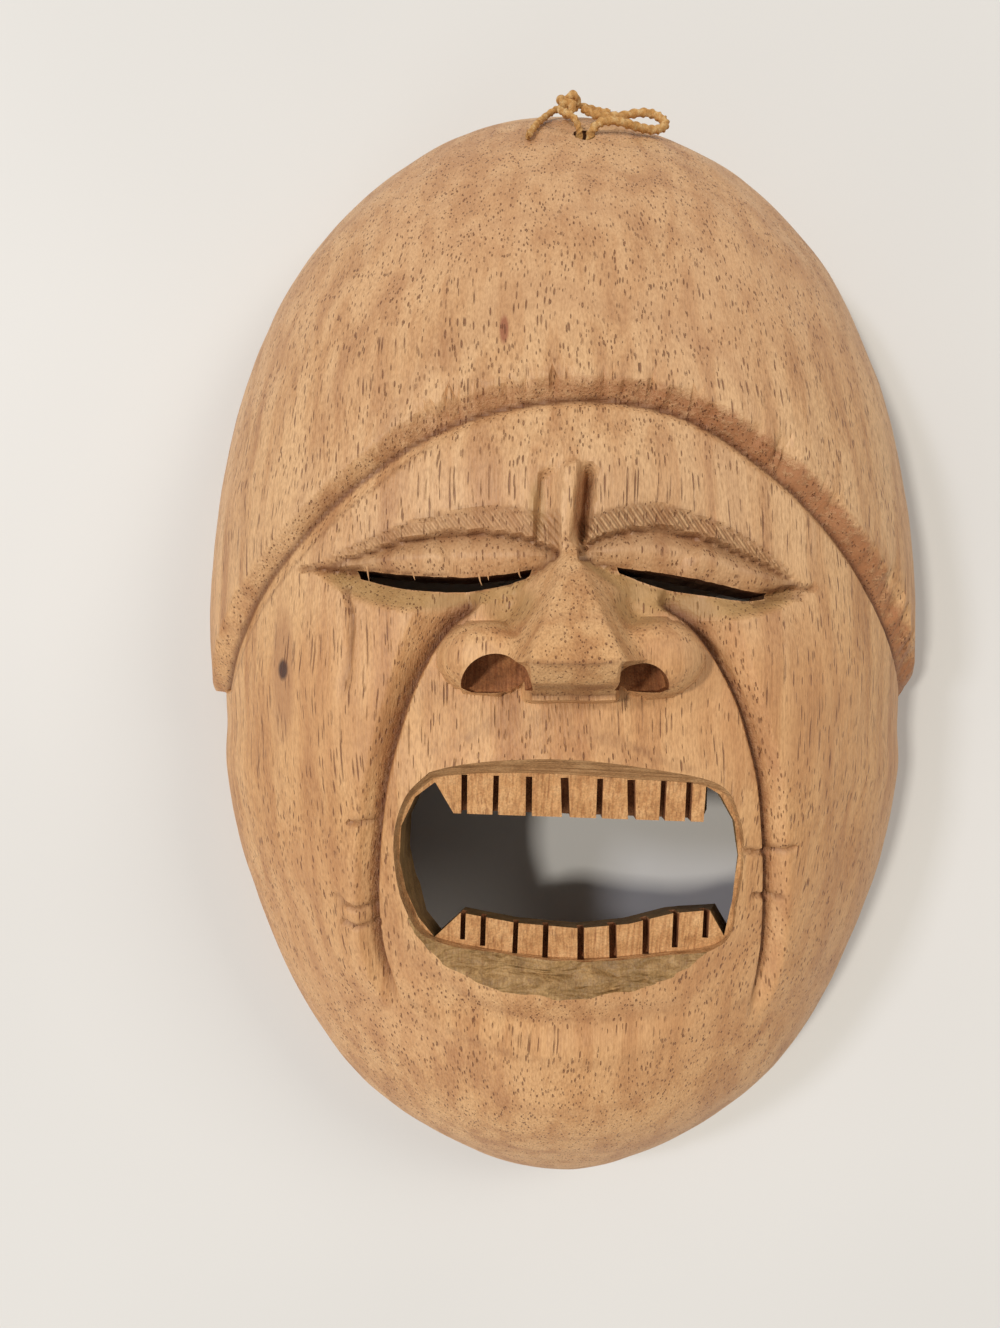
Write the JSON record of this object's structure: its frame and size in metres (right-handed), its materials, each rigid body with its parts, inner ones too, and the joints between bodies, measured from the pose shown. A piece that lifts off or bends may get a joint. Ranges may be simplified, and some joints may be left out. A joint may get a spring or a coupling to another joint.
{
  "type": "carved wood mask",
  "caption": "Hollow carved wood wall mask with shut eyes, a wide open mouth with block teeth, and a twine loop at the crown for hanging.",
  "frame": {"origin": "on the table plane under the middle of the mask, at the middle of the back rim's box", "axes": "+Z out of the face, +Y to the crown, +X to the viewer's right"},
  "size_m": [0.136, 0.204, 0.068],
  "materials": {
    "bare_wood": "bare, knife-cut and sanded",
    "twine": "two-ply, matt"
  },
  "bodies": {
    "root": {"mask": "bare_wood", "hanging_twine": "twine", "twine_knot": "twine", "twine_stopper": "twine"}
  },
  "joints": []
}
